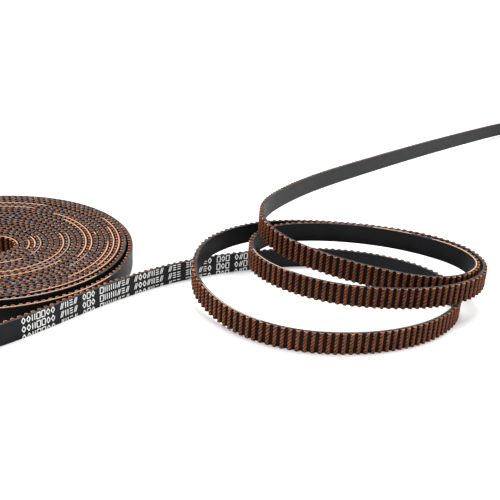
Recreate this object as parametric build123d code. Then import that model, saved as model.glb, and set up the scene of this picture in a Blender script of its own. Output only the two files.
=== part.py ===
"""Open-length 2 mm pitch timing belt, 6 mm wide: a flat coil with its outer end led off in loose loops.

Frame, in millimetres: +Z up, the belt stands on its edge on z = 0, +X runs along the longest side of
the layout and the origin is the centre of the layout's footprint.

Section of the belt, along its thickness, measured from the middle of the thickness towards the smooth
back: nylon facing, tooth rubber, a row of tensile cords side by side, rubber backing.
"""
from build123d import *
from math import ceil, degrees, radians, tan
import os

# ---- the belt's section ----
WIDTH = 6.0
TOOTH_HEIGHT = 0.75
LAND_TO_BACK = 0.63
THICKNESS = TOOTH_HEIGHT + LAND_TO_BACK
FACING = 0.10                 # nylon fabric over the teeth
CORD = 0.30                   # a glass-fibre tensile cord, with the rubber on its two sides
CORDS = 8                     # cords side by side across the width
PITCH_LINE = 0.25             # the cords' centre line, above the land between two teeth
INK = 0.02                    # printed marks on the back

TIPS = -THICKNESS / 2
BACK = THICKNESS / 2
LAND = TIPS + TOOTH_HEIGHT
CORDS_FROM = LAND + PITCH_LINE - CORD / 2
CORDS_TO = CORDS_FROM + CORD
LAYERS = {
    "facing": (TIPS, TIPS + FACING),
    "teeth": (TIPS + FACING, CORDS_FROM),
    "backing": (CORDS_TO, BACK),
}

# ---- the coil: half turns, looser at the back than at the front, with the belt's back outward ----
COIL_CENTRE = (-90.7, -75.2)
COIL_BORE = 5.7               # reach of the innermost turn's centre line
BACK_PITCH = 1.82             # from one turn to the next
FRONT_PITCH = 1.48
TIGHT_HALF_TURNS = 38
LOOSE_ARCS = [                # the outermost turns: radius and degrees of one arc after another
    (37.44, 180), (38.15, 180), (40.43, 180), (40.5, 90), (43.2, 45), (38.75, 45), (43.9, 120),
]

# ---- the run: where the centre line of the belt lies, from the coil to its cut end ----
ROUTE = [
    # out of the coil and round to the front
    (-128.27, -97.81, 3.0), (-122.27, -108.2, 3.0), (-114.2, -117.0, 3.0), (-104.0, -125.7, 3.0),
    (-95.0, -129.0, 3.0), (-86.3, -128.7, 3.0), (-78.7, -124.2, 3.0),
    # floor strand past the coil
    (-68.7, -113.8, 3.0), (-54.0, -94.8, 3.0), (-36.3, -77.4, 3.0), (-17.0, -66.6, 3.0),
    (3.5, -59.8, 3.0), (22.5, -60.2, 3.0),
    # right-hand bend and the front strand, on the floor
    (37.0, -66.4, 3.0), (45.4, -75.8, 3.0), (47.5, -87.2, 3.0), (41.8, -98.3, 3.0),
    (31.2, -107.6, 3.0), (16.5, -113.5, 3.0), (0.0, -114.3, 3.0), (-14.3, -108.8, 3.2),
    (-24.4, -99.0, 4.1),
    # left-hand bend, climbing over the floor strand, and the outer rear strand
    (-30.1, -88.5, 6.5), (-28.9, -76.0, 9.3), (-21.6, -64.6, 9.6), (-9.5, -55.2, 9.5),
    (8.5, -51.8, 9.3), (28.0, -53.2, 9.3), (43.5, -58.7, 9.4),
    # outer right-hand bend and the middle front strand, over the first bend
    (53.1, -67.5, 9.5), (55.7, -79.2, 9.5), (49.9, -89.3, 9.4), (38.5, -96.2, 9.3),
    (24.0, -99.0, 9.3), (8.5, -98.0, 9.3), (-5.5, -91.0, 9.4),
    # inner left-hand bend and the inner rear strand
    (-13.7, -80.5, 9.4), (-14.0, -68.4, 9.5), (-6.5, -58.0, 9.6), (9.0, -54.5, 9.8),
    (26.0, -56.0, 10.0), (40.0, -61.0, 10.0),
    # inner right-hand bend and the top strand, climbing
    (50.4, -68.6, 9.9), (53.5, -79.0, 9.9), (47.2, -88.8, 10.1), (35.0, -93.0, 10.6),
    (20.5, -90.2, 11.4), (6.0, -85.2, 12.6), (-6.0, -78.2, 14.4),
    # over the two rear strands, then down and away to the cut end
    (-11.6, -68.0, 15.8), (-10.9, -54.5, 16.1), (-3.5, -37.8, 15.2), (8.0, -17.0, 13.4),
    (27.0, 10.5, 11.0), (57.0, 50.5, 8.0), (89.0, 90.5, 5.0), (111.0, 114.5, 3.8),
    (124.0, 124.0, 3.0), (135.0, 128.5, 3.0),
]
BEND_SHARE = 0.45             # how much of the shorter run an arc takes
ARC_STEP = 22                 # degrees of an arc from one section of the run to the next

# ---- printed marks: three rows on the back of the floor strand ----
MARKED_FROM = 75.0            # along the run
MARKED_TO = 152.0
MARK_ROWS = ((1.05, 2.80), (-1.40, 0.35), (-2.97, -2.10))

UP = Vector(0, 0, 1)


def coil_path():
    """The coil's centre line: tangent arcs, from the inner end at the back of the bore."""
    pitches = (BACK_PITCH, FRONT_PITCH)
    reaches = [COIL_BORE + k // 2 * pitches[k % 2] for k in range(TIGHT_HALF_TURNS + 1)]
    arcs = [((before + after) / 2, 180) for before, after in zip(reaches, reaches[1:])] + LOOSE_ARCS
    end = Vector(COIL_CENTRE[0], COIL_CENTRE[1] + COIL_BORE, WIDTH / 2)
    angle = 90
    edges = []
    for radius, sweep in arcs:
        centre = end - Vector(radius, 0, 0).rotate(Axis.Z, angle)
        edges.append(CenterArc(centre, radius, angle, sweep).edge())
        end = edges[-1] @ 1
        angle += sweep
    return Wire(edges)


def bend_radii(points):
    """One radius for each corner of the route, as large as its two runs allow."""
    radii = []
    for before, corner, after in zip(points, points[1:], points[2:]):
        run_in, run_out = corner - before, after - corner
        half_turn = radians(run_in.get_angle(run_out)) / 2
        radii.append(BEND_SHARE * min(run_in.length, run_out.length) / tan(half_turn))
    return radii


def sections(edges):
    """Places along the run where its section is set up: each one's point, heading and distance."""
    places = []
    distance = 0.0
    for edge in edges:
        steps = 1
        if edge.geom_type == GeomType.CIRCLE:
            steps = ceil(degrees(edge.length / edge.radius) / ARC_STEP)
        for step in range(steps):
            share = step / steps
            places.append((edge @ share, edge % share, distance + share * edge.length))
        distance += edge.length
    places.append((edges[-1] @ 1, edges[-1] % 1, distance))
    return places


def ribbon(places, near, far, low, high):
    """A solid that follows the run: near to far across the thickness, low to high up the width."""
    outlines = []
    for point, heading, _ in places:
        outward = Vector(heading.Y, -heading.X, 0).normalized()
        outlines.append([
            point + outward * across + UP * height
            for across, height in ((near, low), (far, low), (far, high), (near, high))
        ])
    faces = [Face(Wire.make_polygon(outlines[0])), Face(Wire.make_polygon(outlines[-1]))]
    for here, there in zip(outlines, outlines[1:]):
        for side in range(4):
            after = (side + 1) % 4
            edge, next_edge = (Edge.make_line(ring[side], ring[after]) for ring in (here, there))
            faces.append(Face.make_surface_from_curves(edge, next_edge))
    return Solid(Shell(faces))


def wound(path, near, far, low, high):
    """The same piece of the section, wound round the flat coil."""
    start, heading = path @ 0, path % 0
    outward = Vector(heading.Y, -heading.X, 0)
    plane = Plane(origin=start, x_dir=outward, z_dir=heading)
    piece = Pos((near + far) / 2, (low + high) / 2) * Rectangle(far - near, high - low)
    return sweep(plane * piece, path=path)


def save(name, shape):
    shape.label = name
    export_step(shape, f"parts/{name}.step")


os.makedirs("parts", exist_ok=True)

coil = coil_path()
corners = [Vector(*point) for point in ROUTE]
radii = bend_radii(corners)
run_edges = FilletPolyline(*corners, radius=radii).edges()
run = sections(run_edges)
run_length = run[-1][2]

print("bend radii:", " ".join(f"{radius:.0f}" for radius in radii))
print(f"coil {coil.length:.0f} mm, run {run_length:.0f} mm, gap between them",
      f"{(coil @ 1 - run[0][0]).length:.3f} mm")

half = WIDTH / 2
for layer, (near, far) in LAYERS.items():
    save(f"coil_{layer}", wound(coil, near, far, -half, half))
    save(f"run_{layer}", ribbon(run, near, far, -half, half))

strip = WIDTH / CORDS
for number in range(CORDS):
    low = -half + number * strip
    save(f"coil_cord_{number + 1}", wound(coil, CORDS_FROM, CORDS_TO, low, low + strip))
    save(f"run_cord_{number + 1}", ribbon(run, CORDS_FROM, CORDS_TO, low, low + strip))

marked = [place for place in run if MARKED_FROM < place[2] < MARKED_TO]
rows = [ribbon(marked, BACK, BACK + INK, low, high) for low, high in MARK_ROWS]
save("printed_marks", Compound(children=rows))

belt = ribbon(run, TIPS, BACK, -half, half)
print(f"run's volume over its section times its length: {belt.volume / (THICKNESS * WIDTH * run_length):.4f}")
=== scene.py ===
"""Looks of the open-length timing belt: a flat coil, its outer end led off in loose loops.

Lengths are in metres. The belt stands on its edge on z = 0. A place on the belt is given by the distance
along it, by its offset across the thickness (towards the smooth back) and by its height up the width.
"""
import bpy
import math
import numpy as np
from mathutils import Matrix, Vector


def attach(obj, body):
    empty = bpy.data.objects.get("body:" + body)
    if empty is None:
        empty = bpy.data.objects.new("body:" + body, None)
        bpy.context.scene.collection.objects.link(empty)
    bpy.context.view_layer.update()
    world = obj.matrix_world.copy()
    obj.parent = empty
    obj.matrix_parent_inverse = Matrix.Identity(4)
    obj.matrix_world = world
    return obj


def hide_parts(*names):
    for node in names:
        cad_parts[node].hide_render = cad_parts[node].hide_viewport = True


MM = 0.001

# ---- the belt's section, as in the CAD ----
WIDTH = 6.0 * MM
HALF = WIDTH / 2
PITCH = 2.0 * MM
TOOTH_HEIGHT = 0.75 * MM
THICKNESS = 1.38 * MM
FACING = 0.14 * MM            # the CAD's 0.10 and what its frayed cut edge adds
FACING_LIP = 0.05 * MM        # how far frayed threads stand out of the upper edge
CORDS = 8
CORD = 0.30 * MM
CORD_LINE = 0.25 * MM         # the cords' centre line, above the land between two teeth
LAND = TOOTH_HEIGHT - THICKNESS / 2
BACK = THICKNESS / 2
CORD_OFFSET = LAND + CORD_LINE

# ---- the curved tooth: arcs for its tip, its flanks and its roots ----
TIP_RADIUS = 0.555 * MM
FLANK_RADIUS = 1.0 * MM
ROOT_RADIUS = 0.15 * MM
FLANK_CENTRE = 0.4 * MM       # how far behind the tooth's middle a flank's centre lies

# ---- the coil, as in the CAD ----
COIL_CENTRE = (-90.7 * MM, -75.2 * MM)
COIL_BORE = 5.7 * MM
BACK_PITCH = 1.82 * MM
FRONT_PITCH = 1.48 * MM
TIGHT_HALF_TURNS = 38
LOOSE_ARCS = [                # the outermost turns: radius and degrees of one arc after another
    (37.44 * MM, 180), (38.15 * MM, 180), (40.43 * MM, 180), (40.5 * MM, 90), (43.2 * MM, 45),
    (38.75 * MM, 45), (43.9 * MM, 120),
]

# ---- the run's route, as in the CAD ----
ROUTE = [
    # out of the coil and round to the front
    (-0.12827, -0.09781, 0.0030), (-0.12227, -0.1082, 0.0030), (-0.1142, -0.1170, 0.0030),
    (-0.1040, -0.1257, 0.0030), (-0.0950, -0.1290, 0.0030), (-0.0863, -0.1287, 0.0030),
    (-0.0787, -0.1242, 0.0030),
    # floor strand past the coil
    (-0.0687, -0.1138, 0.0030), (-0.0540, -0.0948, 0.0030), (-0.0363, -0.0774, 0.0030),
    (-0.0170, -0.0666, 0.0030), (0.0035, -0.0598, 0.0030), (0.0225, -0.0602, 0.0030),
    # right-hand bend and the front strand, on the floor
    (0.0370, -0.0664, 0.0030), (0.0454, -0.0758, 0.0030), (0.0475, -0.0872, 0.0030),
    (0.0418, -0.0983, 0.0030), (0.0312, -0.1076, 0.0030), (0.0165, -0.1135, 0.0030),
    (0.0000, -0.1143, 0.0030), (-0.0143, -0.1088, 0.0032), (-0.0244, -0.0990, 0.0041),
    # left-hand bend, climbing over the floor strand, and the outer rear strand
    (-0.0301, -0.0885, 0.0065), (-0.0289, -0.0760, 0.0093), (-0.0216, -0.0646, 0.0096),
    (-0.0095, -0.0552, 0.0095), (0.0085, -0.0518, 0.0093), (0.0280, -0.0532, 0.0093),
    (0.0435, -0.0587, 0.0094),
    # outer right-hand bend and the middle front strand, over the first bend
    (0.0531, -0.0675, 0.0095), (0.0557, -0.0792, 0.0095), (0.0499, -0.0893, 0.0094),
    (0.0385, -0.0962, 0.0093), (0.0240, -0.0990, 0.0093), (0.0085, -0.0980, 0.0093),
    (-0.0055, -0.0910, 0.0094),
    # inner left-hand bend and the inner rear strand
    (-0.0137, -0.0805, 0.0094), (-0.0140, -0.0684, 0.0095), (-0.0065, -0.0580, 0.0096),
    (0.0090, -0.0545, 0.0098), (0.0260, -0.0560, 0.0100), (0.0400, -0.0610, 0.0100),
    # inner right-hand bend and the top strand, climbing
    (0.0504, -0.0686, 0.0099), (0.0535, -0.0790, 0.0099), (0.0472, -0.0888, 0.0101),
    (0.0350, -0.0930, 0.0106), (0.0205, -0.0902, 0.0114), (0.0060, -0.0852, 0.0126),
    (-0.0060, -0.0782, 0.0144),
    # over the two rear strands, then down and away to the cut end
    (-0.0116, -0.0680, 0.0158), (-0.0109, -0.0545, 0.0161), (-0.0035, -0.0378, 0.0152),
    (0.0080, -0.0170, 0.0134), (0.0270, 0.0105, 0.0110), (0.0570, 0.0505, 0.0080),
    (0.0890, 0.0905, 0.0050), (0.1110, 0.1145, 0.0038), (0.1240, 0.1240, 0.0030),
    (0.1350, 0.1285, 0.0030),
]

# ---- how finely the meshes follow the belt ----
RUN_ARC_STEPS = (2, 3, 4)     # on a root, a flank and half a tip
COIL_ARC_STEPS = (1, 1, 3)
SMOOTH_STEP = 0.7 * MM        # along the smooth layers and the cords
COIL_STEP = math.radians(3)
CORD_SIDES = 8
SHARP_FROM = math.radians(40) # faces that meet at more than this keep a sharp edge
FACE, CUT = 0, 1              # which of a layer's two materials
LAYER_SIDES = [CUT, FACE, CUT, FACE]    # its lower edge, far face, upper edge and near face

# ---- the top cord, laid bare in places: turn of the coil, from and to in degrees from +X, paleness ----
BARE_IN_COIL = [
    (0, 8, 110, 0.0), (2, -15, 40, 0.1), (3, -5, 50, 0.4), (4, -85, -30, 0.2), (4, -30, 45, 0.9),
    (8, -105, 38, 0.0), (9, -50, 35, 1.0), (10, -100, -18, 0.0), (11, -100, -76, 0.1), (12, -16, 58, 0.1),
    (13, -30, -4, 1.0), (13, -4, 70, 0.1), (14, 19, 28, 0.3), (14, 80, 125, 0.3), (16, -40, 13, 0.0),
    (16, 75, 130, 0.3), (17, -22, 32, 0.1), (18, -62, 44, 0.0), (19, -78, -26, 0.6), (20, -110, -20, 0.1),
]
# ---- and on the run: from and to along it, paleness ----
BARE_IN_RUN = [
    (296 * MM, 322 * MM, 0.8), (512 * MM, 533 * MM, 0.7), (583 * MM, 598 * MM, 0.3),
    (602 * MM, 634 * MM, 0.3),
]
BARE_RISE = 0.34 * MM         # how far a bare cord lies above its place in the row
BARE_SPREAD = 0.15            # how much thicker its loosened strands make it
BARE_FADE = 2.0 * MM          # over which it rises and sinks again
TURN_UNEVEN = 0.22 * MM       # how unevenly the turns of the coil stand
SLIP_STEP = 1.1               # radians of the coil from one height of its edge to the next

# ---- printed marks on the back of the floor strand ----
MARKED_FROM = 75.0 * MM
MARKED_TO = 152.0 * MM
MARK_ROWS = (1.05 * MM, -1.40 * MM, -3.85 * MM)
MARK_LOWEST = -2.97 * MM
MARK_HEIGHT = 1.75 * MM
MARK_WIDTH = 1.05 * MM
MARK_SPACING = 1.50 * MM
MARK_STROKE = 0.27 * MM
MARK_GROUP = (4, 9)           # a gap comes after so many places, the second number not included
INK = 0.02 * MM
# a mark is strokes in a unit square
SQUARE = [((0, 0), (0, 1)), ((0, 1), (1, 1)), ((1, 1), (1, 0)), ((1, 0), (0, 0))]
DIAMOND = [((0.5, 0), (0, 0.5)), ((0, 0.5), (0.5, 1)), ((0.5, 1), (1, 0.5)), ((1, 0.5), (0.5, 0))]
TWIN_BARS = [((0.15, 0), (0.15, 1)), ((0.85, 0), (0.85, 1))]
SLASHES = [((0, 0), (0.5, 1)), ((0.5, 0), (1, 1))]
LEVELS = [((0, 0.1), (1, 0.1)), ((0, 0.5), (1, 0.5)), ((0, 0.9), (1, 0.9))]
MARKS = (SQUARE, DIAMOND, TWIN_BARS, SLASHES, LEVELS)

# ---- the camera ----
CAMERA_PLACE = Vector((-0.014, -0.300, 0.1102))
CAMERA_DIP = math.radians(23.9)
CAMERA_ROLL = math.radians(-3.8)
FOCAL_SHARE = 1.66            # focal length over the picture's width
SENSOR = 36.0

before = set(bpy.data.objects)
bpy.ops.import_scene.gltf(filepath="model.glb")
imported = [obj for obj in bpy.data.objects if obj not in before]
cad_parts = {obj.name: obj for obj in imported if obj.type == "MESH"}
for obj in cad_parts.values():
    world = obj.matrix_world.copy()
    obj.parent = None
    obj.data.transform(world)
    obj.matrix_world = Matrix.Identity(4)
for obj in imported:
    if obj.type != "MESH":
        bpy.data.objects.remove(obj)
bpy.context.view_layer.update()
scene = bpy.context.scene
rng = np.random.default_rng(7)


# ---------------------------------------------------------------- lines that the belt follows

class Line:
    """A line of close points, read by distance along it."""

    def __init__(self, points):
        self.points = np.asarray(points, float)
        steps = np.linalg.norm(np.diff(self.points, axis=0), axis=1)
        self.distance = np.concatenate([[0.0], np.cumsum(steps)])
        self.length = self.distance[-1]

    def at(self, distance):
        """The points at these distances."""
        return np.stack([np.interp(distance, self.distance, axis) for axis in self.points.T], -1)

    def frames(self, distance):
        """Points and level outward directions at these distances."""
        reach = 0.2 * MM
        ahead = self.at(np.minimum(distance + reach, self.length))
        behind = self.at(np.maximum(distance - reach, 0.0))
        heading = ahead - behind
        outward = np.stack([heading[:, 1], -heading[:, 0], np.zeros(len(heading))], -1)
        outward /= np.linalg.norm(outward, axis=1)[:, None]
        return self.at(distance), outward

    def place(self, distance, offset, height):
        """Points on the belt at a distance, an offset across the thickness and a height up the width."""
        points, outward = self.frames(distance)
        placed = points + outward * np.broadcast_to(offset, distance.shape)[:, None]
        placed[:, 2] += height
        return placed


def run_line():
    """The run's smooth line: a NURBS spline guided by the route's points."""
    curve = bpy.data.curves.new("run_line", "CURVE")
    curve.dimensions = "3D"
    curve.resolution_u = 40
    spline = curve.splines.new("NURBS")
    spline.points.add(len(ROUTE) - 1)
    for guide, place in zip(spline.points, ROUTE):
        guide.co = (*place, 1.0)
    spline.order_u = 3
    spline.use_endpoint_u = True
    holder = bpy.data.objects.new("run_line", curve)
    scene.collection.objects.link(holder)
    bpy.context.view_layer.update()
    mesh = bpy.data.meshes.new_from_object(holder.evaluated_get(bpy.context.evaluated_depsgraph_get()))
    points = np.array([vertex.co for vertex in mesh.vertices])
    bpy.data.objects.remove(holder)
    bpy.data.meshes.remove(mesh)
    return Line(points)


def coil_line():
    """The coil's line of tangent arcs, and the angle turned through at each of its points."""
    pitches = (BACK_PITCH, FRONT_PITCH)
    reaches = [COIL_BORE + k // 2 * pitches[k % 2] for k in range(TIGHT_HALF_TURNS + 1)]
    arcs = [((before + after) / 2, 180) for before, after in zip(reaches, reaches[1:])] + LOOSE_ARCS
    x, y = COIL_CENTRE[0], COIL_CENTRE[1] + COIL_BORE
    turned = math.radians(90)
    points, angles = [(x, y, HALF)], [turned]
    for radius, degrees in arcs:
        x -= radius * math.cos(turned)
        y -= radius * math.sin(turned)
        steps = round(math.radians(degrees) / COIL_STEP)
        for angle in np.linspace(turned, turned + math.radians(degrees), steps + 1)[1:]:
            points.append((x + radius * math.cos(angle), y + radius * math.sin(angle), HALF))
            angles.append(angle)
        x, y, _ = points[-1]
        turned = angles[-1]
    points = np.array(points)
    angles = np.array(angles)
    points[:, 2] += coil_rise(angles)
    return Line(points), angles


def coil_rise(angles):
    """How much higher each stretch of the coil stands than the floor: turns slip a little on each other."""
    knots = rng.uniform(0, 1, int(angles[-1] / SLIP_STEP) + 3)
    wander = np.interp(angles / SLIP_STEP, np.arange(len(knots)), knots)
    settled = np.clip((angles[-1] - angles) / (2 * math.pi), 0, 1)
    return TURN_UNEVEN * wander * settled


# ---------------------------------------------------------------- meshes

def prism(name, rings, belt, sides, materials, cap):
    """A closed solid through rings of points. sides and cap number the materials of its faces.

    belt is stored with the points, for the materials to read."""
    count, corners, _ = rings.shape
    index = np.arange(count * corners).reshape(count, corners)
    after = np.roll(index, -1, axis=1)
    quads = np.stack([index[:-1], after[:-1], after[1:], index[1:]], -1).reshape(-1, 4)
    faces = quads.tolist() + [index[0, ::-1].tolist(), index[-1].tolist()]
    mesh = bpy.data.meshes.new(name)
    mesh.from_pydata(rings.reshape(-1, 3).tolist(), [], faces)
    numbers = np.concatenate([np.tile(sides, count - 1), [cap, cap]]).astype(np.int32)
    mesh.polygons.foreach_set("material_index", numbers)
    where = mesh.attributes.new("belt", "FLOAT_VECTOR", "POINT")
    where.data.foreach_set("vector", belt.reshape(-1).astype(np.float32))
    for material in materials:
        mesh.materials.append(material)
    mesh.polygons.foreach_set("use_smooth", np.ones(len(faces), bool))
    mesh.set_sharp_from_angle(angle=SHARP_FROM)
    mesh.update()
    piece = bpy.data.objects.new(name, mesh)
    scene.collection.objects.link(piece)
    return piece


def strip(name, line, near, far, materials, lip=0.0):
    """A layer of the belt. near and far each give distances, offsets and tooth heights of its two faces.

    lip is how far the layer's upper edge may stand out of the belt, thread by thread."""
    top = HALF + lip * rng.uniform(0, 1, len(near[0]))
    low = np.full(len(top), -HALF)
    corners = [(near, low), (far, low), (far, top), (near, top)]
    rings = np.stack([line.place(face[0], face[1], height) for face, height in corners], 1)
    belt = np.stack([
        np.stack([face[0] / MM, height / MM, face[2] / MM], -1) for face, height in corners
    ], 1)
    return prism(name, rings, belt, LAYER_SIDES, materials, CUT)


def tooth_outline(steps, inset):
    """Half of one pitch, from the middle of a land to a tooth's tip: places along the belt and heights.

    inset moves the outline into the belt, as the facing's inner face lies under its outer one."""
    root_steps, flank_steps, tip_steps = steps
    root = (math.sqrt((FLANK_RADIUS + ROOT_RADIUS) ** 2 - ROOT_RADIUS ** 2) - FLANK_CENTRE, ROOT_RADIUS)
    lean = math.atan2(ROOT_RADIUS, root[0] + FLANK_CENTRE)
    tip_centre = TOOTH_HEIGHT - TIP_RADIUS
    join = math.atan2(tip_centre, FLANK_CENTRE)
    arcs = [
        (root, ROOT_RADIUS + inset, -math.pi / 2, lean - math.pi, root_steps),
        ((-FLANK_CENTRE, 0.0), FLANK_RADIUS - inset, lean, join, flank_steps),
        ((0.0, tip_centre), TIP_RADIUS - inset, join, math.pi / 2, tip_steps),
    ]
    outline = [(PITCH / 2, -inset)]
    for number, ((x, y), radius, start, end, count) in enumerate(arcs):
        for angle in np.linspace(start, end, count + 1)[1 if number else 0:]:
            outline.append((x + radius * math.cos(angle), y + radius * math.sin(angle)))
    return np.array(outline)


def toothed_face(first, teeth, steps, inset):
    """Distances, offsets and heights along a toothed face of so many whole teeth."""
    half = tooth_outline(steps, inset)
    rising = np.column_stack([-half[:, 0], half[:, 1]])
    falling = np.column_stack([half[-2:0:-1, 0], half[-2:0:-1, 1]])
    tooth = np.concatenate([rising, falling])
    tooth[:, 0] += PITCH / 2
    along = (np.arange(teeth)[:, None] * PITCH + tooth[:, 0]).ravel()
    heights = np.tile(tooth[:, 1], teeth)
    along = first + np.append(along, teeth * PITCH)
    heights = np.append(heights, -inset)
    return along, LAND - heights, heights


def plain_face(distance, offset):
    """Distances, offsets and heights along a smooth face."""
    return distance, np.full(len(distance), offset), np.full(len(distance), 0.0)


def round_cord(name, line, distance, height, bare, paleness):
    """One tensile cord at the pitch line. Where it is bare, it rises out of the belt's edge and spreads."""
    turn = np.arange(CORD_SIDES) * 2 * math.pi / CORD_SIDES
    radius = CORD / 2 * (1 + BARE_SPREAD * bare)
    middle = height + BARE_RISE * bare
    rings, belt = [], []
    for angle in turn:
        offset = CORD_OFFSET + radius * math.cos(angle)
        rings.append(line.place(distance, offset, middle + radius * math.sin(angle)))
        belt.append(np.stack([distance / MM, np.full(len(distance), angle), paleness], -1))
    return prism(name, np.stack(rings, 1), np.stack(belt, 1), [0] * CORD_SIDES, [cord_yarn], 0)


def laid_bare(stretches, distance):
    """How bare the top cord is at each distance, from 0 to 1, and how pale."""
    bare = np.zeros(len(distance))
    paleness = np.zeros(len(distance))
    for start, end, pale in stretches:
        inside = np.clip((distance - start) / BARE_FADE, 0, 1) * np.clip((end - distance) / BARE_FADE, 0, 1)
        bare = np.maximum(bare, inside)
        paleness = np.maximum(paleness, pale * inside)
    return bare, paleness


def bare_in_coil(line, angles):
    """The coil's bare stretches by distance along it."""
    stretches = []
    for turn, start, end, pale in BARE_IN_COIL:
        reach = [2 * math.pi * (turn + 1) + math.radians(angle) for angle in (start, end)]
        stretches.append((*np.interp(reach, angles, line.distance), pale))
    return stretches


def belt_pieces(prefix, line, first, teeth, steps, bare_stretches):
    """All the layers and cords of one stretch of the belt, by CAD node name."""
    last = first + teeth * PITCH
    smooth = np.linspace(first, last, round((last - first) / SMOOTH_STEP) + 1)
    outer = toothed_face(first, teeth, steps, 0.0)
    inner = toothed_face(first, teeth, steps, FACING)
    made = {
        f"{prefix}_facing": strip(
            f"{prefix}_toothed_facing", line, outer, inner, [fabric, fabric_cut], FACING_LIP),
        f"{prefix}_teeth": strip(
            f"{prefix}_tooth_rubber", line, inner, plain_face(inner[0], CORD_OFFSET),
            [rubber_back, rubber_cut]),
        f"{prefix}_backing": strip(
            f"{prefix}_backing_rubber", line, plain_face(smooth, CORD_OFFSET), plain_face(smooth, BACK),
            [rubber_back, rubber_cut]),
    }
    bare, paleness = laid_bare(bare_stretches, smooth)
    for number in range(CORDS):
        at_top = number == CORDS - 1
        made[f"{prefix}_cord_{number + 1}"] = round_cord(
            f"{prefix}_tensile_cord_{number + 1}", line, smooth, -HALF + (number + 0.5) * WIDTH / CORDS,
            bare * at_top, paleness * at_top)
    return made


def stroke_box(line, start, end):
    """The eight corners of one printed stroke between two places on the belt's back."""
    along = Vector(end) - Vector(start)
    side = Vector((-along.y, along.x)).normalized() * MARK_STROKE / 2
    corners = [Vector(start) - side, Vector(end) - side, Vector(end) + side, Vector(start) + side]
    distance = np.array([corner.x for corner in corners])
    height = np.array([corner.y for corner in corners])
    return np.concatenate([line.place(distance, BACK + lift, height) for lift in (-INK, INK)])


def printed_marks(line, material):
    """Three rows of generic marks: squares, diamonds, bars and slashes in groups, with no lettering."""
    places, faces = [], []
    box = [(0, 1, 2, 3), (7, 6, 5, 4), (0, 4, 5, 1), (1, 5, 6, 2), (2, 6, 7, 3), (3, 7, 4, 0)]
    cells = int((MARKED_TO - MARKED_FROM) / MARK_SPACING)
    gaps = set(np.cumsum(rng.integers(*MARK_GROUP, cells)).tolist())
    chosen = rng.integers(0, len(MARKS), cells)
    for row in MARK_ROWS:
        for cell in range(cells):
            if cell in gaps:
                continue
            left = MARKED_FROM + cell * MARK_SPACING
            for pair in MARKS[chosen[cell]]:
                ends = [(left + u * MARK_WIDTH, row + v * MARK_HEIGHT) for u, v in pair]
                low, high = sorted(ends, key=lambda place: place[1])
                if high[1] <= MARK_LOWEST:
                    continue
                if low[1] < MARK_LOWEST:
                    share = (MARK_LOWEST - low[1]) / (high[1] - low[1])
                    low = (low[0] + share * (high[0] - low[0]), MARK_LOWEST)
                faces += [[len(places) + corner for corner in face] for face in box]
                places += stroke_box(line, low, high).tolist()
    mesh = bpy.data.meshes.new("printed_marks")
    mesh.from_pydata(places, [], faces)
    mesh.materials.append(material)
    piece = bpy.data.objects.new("generic_printed_marks", mesh)
    scene.collection.objects.link(piece)
    return piece


# ---------------------------------------------------------------- materials

class Shade:
    """A material in the making: a Principled shader, and nodes added one at a time."""

    def __init__(self, name, roughness, **constants):
        self.material = bpy.data.materials.new(name)
        self.material.use_nodes = True
        self.tree = self.material.node_tree
        self.shader = self.tree.nodes["Principled BSDF"]
        self.shader.inputs["Roughness"].default_value = roughness
        for socket, value in constants.items():
            self.shader.inputs[socket.replace("_", " ")].default_value = value

    def add(self, kind, links=None, inputs=None, **settings):
        """A node with its settings, constant inputs and links from other nodes' outputs."""
        node = self.tree.nodes.new("ShaderNode" + kind)
        for key, value in settings.items():
            setattr(node, key, value)
        for key, value in (inputs or {}).items():
            node.inputs[key].default_value = value
        for key, output in (links or {}).items():
            self.tree.links.new(output, node.inputs[key])
        return node

    def join(self, output, socket):
        self.tree.links.new(output, self.shader.inputs[socket])

    def belt(self):
        """Distance, height and tooth height in millimetres; on a cord, distance, angle round it, paleness."""
        return self.add("Attribute", attribute_name="belt").outputs["Vector"]

    def up_the_tooth(self, belt):
        """How high on a tooth a place is, from 0 on the land to 1 at the tip."""
        height = self.add("SeparateXYZ", {"Vector": belt}).outputs["Z"]
        return self.math("DIVIDE", height, TOOTH_HEIGHT / MM)

    def noise(self, vector, scale, detail=3.0, stretch=(1, 1, 1)):
        scaled = self.add("Mapping", {"Vector": vector}, {"Scale": stretch})
        made = self.add("TexNoise", {"Vector": scaled.outputs[0]}, {"Scale": scale, "Detail": detail})
        return made.outputs["Fac"]

    def ramp(self, fac, *stops):
        """A colour ramp through (position, colour) stops."""
        node = self.add("ValToRGB", {"Fac": fac})
        elements = node.color_ramp.elements
        while len(elements) < len(stops):
            elements.new(0.5)
        for element, (position, colour) in zip(elements, stops):
            element.position = position
            element.color = (*colour, 1.0)
        return node.outputs["Color"]

    def mix(self, fac, a, b, kind="MIX"):
        """Two colours mixed by a factor, which is an output or a number."""
        node = self.add("Mix", data_type="RGBA", blend_type=kind)
        for socket, value in ((node.inputs[0], fac), (node.inputs[6], a), (node.inputs[7], b)):
            if isinstance(value, bpy.types.NodeSocket):
                self.tree.links.new(value, socket)
            else:
                socket.default_value = value if isinstance(value, float) else (*value, 1.0)
        return node.outputs[2]

    def math(self, operation, a, b):
        node = self.add("Math", operation=operation)
        for socket, value in zip(node.inputs, (a, b)):
            if isinstance(value, bpy.types.NodeSocket):
                self.tree.links.new(value, socket)
            else:
                socket.default_value = value
        return node.outputs[0]

    def bump(self, height, distance, strength=1.0):
        node = self.add("Bump", {"Height": height}, {"Distance": distance, "Strength": strength})
        self.join(node.outputs["Normal"], "Normal")


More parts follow.
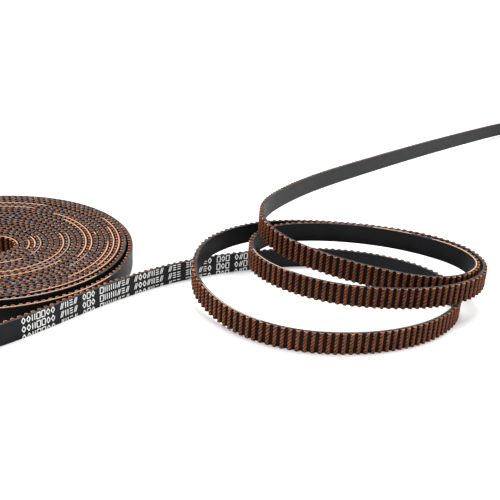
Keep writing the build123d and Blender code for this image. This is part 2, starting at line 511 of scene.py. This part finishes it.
def fabric_material():
    """Brown nylon twill: copper threads slant over dark ridges, and painted shade darkens the valleys to near
    black.
    """
    shade = Shade("nylon_facing", 0.6, Specular_IOR_Level=0.12, Sheen_Weight=0.02, Sheen_Roughness=0.4)
    belt = shade.belt()
    slant = (0, 0, math.radians(-38))
    turned = shade.add("Mapping", {"Vector": belt}, {"Rotation": slant, "Scale": (1, 1, 0)})
    thread = shade.add(
        "TexWave", {"Vector": turned.outputs[0]},
        {"Scale": 0.48, "Distortion": 2.6, "Detail": 2.0, "Detail Scale": 1.8}, bands_direction="X")
    fine = shade.noise(belt, 4.0, stretch=(1, 0.6, 1))
    patch = shade.noise(belt, 0.35, 2.0)
    strands = shade.ramp(
        thread.outputs["Fac"], (0.25, (0.022, 0.008, 0.004)), (0.60, (0.072, 0.024, 0.011)),
        (0.95, (0.30, 0.098, 0.038)))
    wear = shade.ramp(fine, (0.40, (0, 0, 0)), (0.80, (0.9, 0.9, 0.9)))
    worn = shade.mix(wear, strands, (0.15, 0.055, 0.027))
    # painted shade: the colour darkens from the teeth's tips down to near black in the valleys between them
    painted_valley_shade = shade.ramp(
        shade.up_the_tooth(belt), (0.0, (0.05, 0.04, 0.035)), (0.40, (0.24, 0.20, 0.18)),
        (0.80, (1.0, 1.0, 1.0)))
    shaded = shade.mix(1.0, worn, painted_valley_shade, "MULTIPLY")
    toned = shade.ramp(patch, (0.3, (0.72, 0.68, 0.66)), (0.7, (1.2, 1.15, 1.1)))
    shade.join(shade.mix(1.0, shaded, toned, "MULTIPLY"), "Base Color")
    shade.join(shade.ramp(fine, (0.3, (0.5, 0.5, 0.5)), (0.7, (0.72, 0.72, 0.72))), "Roughness")
    shade.bump(shade.math("ADD", thread.outputs["Fac"], fine), 0.06 * MM, 0.9)
    return shade.material


def fabric_cut_material():
    """The facing's cut edge: orange threads, with painted shade that darkens them from each tooth's tip down
    into the valleys.
    """
    shade = Shade("facing_cut_edge", 0.7, Specular_IOR_Level=0.3)
    belt = shade.belt()
    patchy = shade.noise(belt, 1.1, 2.0, (1, 1, 0.3))
    threads = shade.ramp(
        patchy, (0.36, (0.20, 0.070, 0.034)), (0.5, (0.62, 0.225, 0.100)), (0.66, (0.97, 0.46, 0.25)))
    # painted shade: the cut edge darkens from the teeth's tips down into the valleys
    painted_edge_valley_shade = shade.ramp(shade.up_the_tooth(belt), (0.05, (0.22, 0.19, 0.18)), (0.8, (1.0, 1.0, 1.0)))
    shade.join(shade.mix(1.0, threads, painted_edge_valley_shade, "MULTIPLY"), "Base Color")
    shade.bump(shade.noise(belt, 6.0), 0.03 * MM)
    return shade.material


def rubber_back_material():
    """Black neoprene with a soft sheen, ground to thickness: fine marks across the belt."""
    shade = Shade("neoprene_back", 0.45, Specular_IOR_Level=0.13)
    belt = shade.belt()
    ground = shade.noise(belt, 6.0, 4.0, (1, 0.12, 1))
    cloudy = shade.noise(belt, 0.16, 3.0)
    black = shade.ramp(cloudy, (0.3, (0.0040, 0.0043, 0.0052)), (0.75, (0.0080, 0.0085, 0.0100)))
    shade.join(black, "Base Color")
    shade.join(shade.ramp(ground, (0.3, (0.42, 0.42, 0.42)), (0.7, (0.56, 0.56, 0.56))), "Roughness")
    shade.bump(ground, 0.012 * MM, 0.6)
    return shade.material


def rubber_cut_material():
    """Cut neoprene: matt grey where the knife dragged, darker in between and browner in the teeth."""
    shade = Shade("neoprene_cut_edge", 0.7, Specular_IOR_Level=0.12)
    belt = shade.belt()
    dragged = shade.noise(belt, 1.4, 4.0, (0.5, 1, 1))
    speck = shade.noise(belt, 7.0, 2.0)
    grey = shade.ramp(
        dragged, (0.36, (0.006, 0.006, 0.006)), (0.52, (0.046, 0.044, 0.044)), (0.68, (0.175, 0.168, 0.166)))
    specks = shade.ramp(speck, (0.35, (0.004, 0.004, 0.004)), (0.7, (0.135, 0.128, 0.126)))
    specked = shade.mix(0.5, grey, specks)
    browned = shade.ramp(shade.up_the_tooth(belt), (0.1, (0.85, 0.85, 0.86)), (0.8, (2.2, 0.85, 0.55)))
    shade.join(shade.mix(1.0, specked, browned, "MULTIPLY"), "Base Color")
    shade.bump(shade.math("ADD", dragged, speck), 0.04 * MM)
    return shade.material


def cord_material():
    """Treated glass-fibre cord: orange, twisted, and paler along some stretches."""
    shade = Shade("glass_fibre_cord", 0.5)
    belt = shade.belt()
    ply = shade.add(
        "TexWave", {"Vector": belt}, {"Scale": 0.9, "Distortion": 0.4}, bands_direction="DIAGONAL")
    pale = shade.add("SeparateXYZ", {"Vector": belt}).outputs["Z"]
    tint = shade.ramp(pale, (0.0, (0.95, 0.50, 0.27)), (0.5, (0.85, 0.64, 0.48)), (1.0, (0.36, 0.36, 0.35)))
    twisted = shade.ramp(ply.outputs["Fac"], (0.2, (0.62, 0.55, 0.50)), (0.7, (1.0, 1.0, 1.0)))
    shade.join(shade.mix(1.0, tint, twisted, "MULTIPLY"), "Base Color")
    shade.bump(ply.outputs["Fac"], 0.03 * MM)
    return shade.material


def ink_material():
    """White ink, a little thin in places."""
    shade = Shade("printing_ink", 0.55)
    thin = shade.noise(shade.add("TexCoord").outputs["Object"], 2500.0, 3.0)
    shade.join(shade.ramp(thin, (0.3, (0.42, 0.43, 0.44)), (0.5, (0.82, 0.82, 0.80))), "Base Color")
    return shade.material


def floor_material():
    """A plain pale studio sweep."""
    shade = Shade("studio_floor", 0.9, Specular_IOR_Level=0.1)
    cloudy = shade.noise(shade.add("TexCoord").outputs["Object"], 3.0, 2.0)
    shade.join(shade.ramp(cloudy, (0.3, (0.93, 0.93, 0.93)), (0.7, (0.94, 0.94, 0.94))), "Base Color")
    return shade.material


# ---------------------------------------------------------------- camera, floor and lights

def add_camera():
    """A level camera, dipped towards the belt and rolled a little."""
    forward = Vector((0, math.cos(CAMERA_DIP), -math.sin(CAMERA_DIP)))
    level = Vector((1, 0, 0))
    down = forward.cross(level)
    right = math.cos(CAMERA_ROLL) * level + math.sin(CAMERA_ROLL) * down
    down = -math.sin(CAMERA_ROLL) * level + math.cos(CAMERA_ROLL) * down
    data = bpy.data.cameras.new("camera")
    data.sensor_width = SENSOR
    data.lens = FOCAL_SHARE * SENSOR
    data.clip_start = 0.005
    camera = bpy.data.objects.new("camera", data)
    turn = Matrix((right, -down, -forward)).transposed()
    camera.matrix_world = Matrix.Translation(CAMERA_PLACE) @ turn.to_4x4()
    scene.collection.objects.link(camera)
    scene.camera = camera


def add_floor():
    mesh = bpy.data.meshes.new("floor")
    reach = 12.0
    mesh.from_pydata([(-reach, -reach, 0), (reach, -reach, 0), (reach, reach, 0), (-reach, reach, 0)], [],
                     [(0, 1, 2, 3)])
    mesh.materials.append(floor_material())
    floor = bpy.data.objects.new("floor", mesh)
    scene.collection.objects.link(floor)


def add_light(name, place, target, size, power):
    data = bpy.data.lights.new(name, "AREA")
    data.shape = "DISK"
    data.size = size
    data.energy = power
    light = bpy.data.objects.new(name, data)
    light.location = place
    light.rotation_euler = (Vector(target) - Vector(place)).to_track_quat("-Z", "Y").to_euler()
    scene.collection.objects.link(light)


def add_studio():
    """A white room and two soft boxes."""
    world = bpy.data.worlds.new("studio")
    scene.world = world
    world.use_nodes = True
    backdrop = world.node_tree.nodes["Background"]
    backdrop.inputs["Color"].default_value = (1.0, 1.0, 1.0, 1.0)
    backdrop.inputs["Strength"].default_value = 0.95
    add_light("soft_box_above", (0.1, 0.25, 0.9), (0, -0.05, 0), 0.7, 9.0)
    add_light("soft_box_left", (-0.7, -0.5, 0.6), (0, -0.05, 0), 0.4, 3.0)
    scene.view_settings.view_transform = "Standard"


# ---------------------------------------------------------------- the belt

fabric = fabric_material()
fabric_cut = fabric_cut_material()
rubber_back = rubber_back_material()
rubber_cut = rubber_cut_material()
cord_yarn = cord_material()

add_camera()
run = run_line()
coil, coil_angles = coil_line()
run_teeth = int(run.length / PITCH)
coil_teeth = int(coil.length / PITCH)
pieces = belt_pieces("run", run, 0.0, run_teeth, RUN_ARC_STEPS, BARE_IN_RUN)
pieces.update(belt_pieces(
    "coil", coil, coil.length - coil_teeth * PITCH, coil_teeth, COIL_ARC_STEPS,
    bare_in_coil(coil, coil_angles)))
pieces["printed_marks"] = printed_marks(run, ink_material())

for node, piece in pieces.items():
    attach(piece, "root")
    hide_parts(node)

add_floor()
add_studio()
